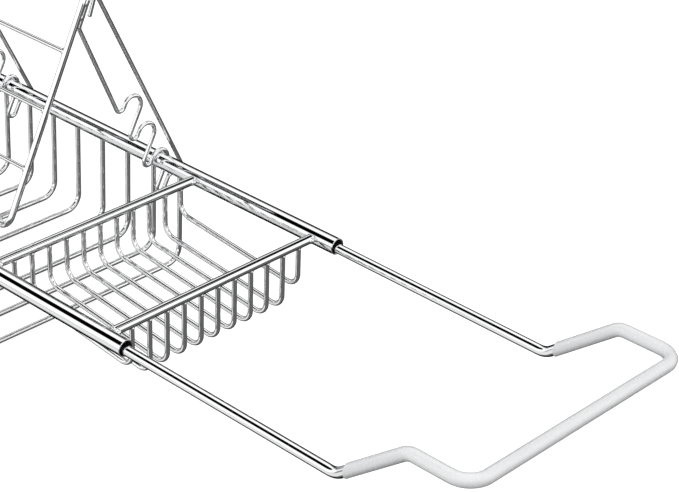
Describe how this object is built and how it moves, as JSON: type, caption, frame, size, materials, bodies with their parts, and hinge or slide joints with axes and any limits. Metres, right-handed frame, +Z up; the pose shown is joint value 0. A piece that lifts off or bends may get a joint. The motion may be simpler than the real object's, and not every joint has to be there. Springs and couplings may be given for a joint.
{
  "type": "extending wire bath caddy",
  "caption": "Extending chromed wire caddy for a bath or sink: deep centre basket, two side trays, two sleeved telescoping arms and a lift-off notched wire reading rack.",
  "frame": {"origin": "on the ground under the middle of the object's box, arms as pictured", "axes": "+X along the tubes, +Y to the back (the side that the reading rack leans to), +Z up"},
  "size_m": [0.9098, 0.1886, 0.1902],
  "materials": {
    "chrome": "bright mirror chrome on steel wire and tube",
    "white_vinyl": "soft white translucent vinyl sleeve"
  },
  "bodies": {
    "caddy_frame": {"front_tube": "chrome", "back_tube": "chrome", "left_inner_crossbar": "chrome", "left_outer_crossbar": "chrome", "right_inner_crossbar": "chrome", "right_outer_crossbar": "chrome", "left_tray_wire_01": "chrome", "left_tray_wire_02": "chrome", "left_tray_wire_03": "chrome", "left_tray_wire_04": "chrome", "left_tray_wire_05": "chrome", "left_tray_wire_06": "chrome", "left_tray_wire_07": "chrome", "left_tray_wire_08": "chrome", "left_tray_wire_09": "chrome", "left_tray_wire_10": "chrome", "left_tray_wire_11": "chrome", "right_tray_wire_01": "chrome", "right_tray_wire_02": "chrome", "right_tray_wire_03": "chrome", "right_tray_wire_04": "chrome", "right_tray_wire_05": "chrome", "right_tray_wire_06": "chrome", "right_tray_wire_07": "chrome", "right_tray_wire_08": "chrome", "right_tray_wire_09": "chrome", "right_tray_wire_10": "chrome", "right_tray_wire_11": "chrome", "basket_wire_1": "chrome", "basket_wire_2": "chrome", "basket_wire_3": "chrome", "basket_wire_4": "chrome", "basket_wire_5": "chrome", "basket_wire_6": "chrome", "basket_wire_7": "chrome", "basket_wire_8": "chrome"},
    "right_arm": {"right_arm_rod": "chrome", "right_grip_sleeve": "white_vinyl"},
    "left_arm": {"left_arm_rod": "chrome", "left_grip_sleeve": "white_vinyl"},
    "reading_rack": {"rack_frame": "chrome", "rack_rung_1": "chrome", "rack_rung_2": "chrome", "rack_rung_3": "chrome", "left_rack_leg": "chrome", "right_rack_leg": "chrome", "left_front_hook": "chrome", "right_front_hook": "chrome"}
  },
  "joints": [
    {"name": "right_arm_slide", "type": "slide", "parent": "caddy_frame", "child": "right_arm", "axis": [1, 0, -0.0094], "range_m": [-0.14, 0.02]},
    {"name": "left_arm_slide", "type": "slide", "parent": "caddy_frame", "child": "left_arm", "axis": [-1, 0, -0.0094], "range_m": [-0.14, 0.02]},
    {"name": "reading_rack_lift", "type": "slide", "parent": "caddy_frame", "child": "reading_rack", "axis": [0, 0.4772, 0.8788], "range_m": [0, 0.15]}
  ]
}
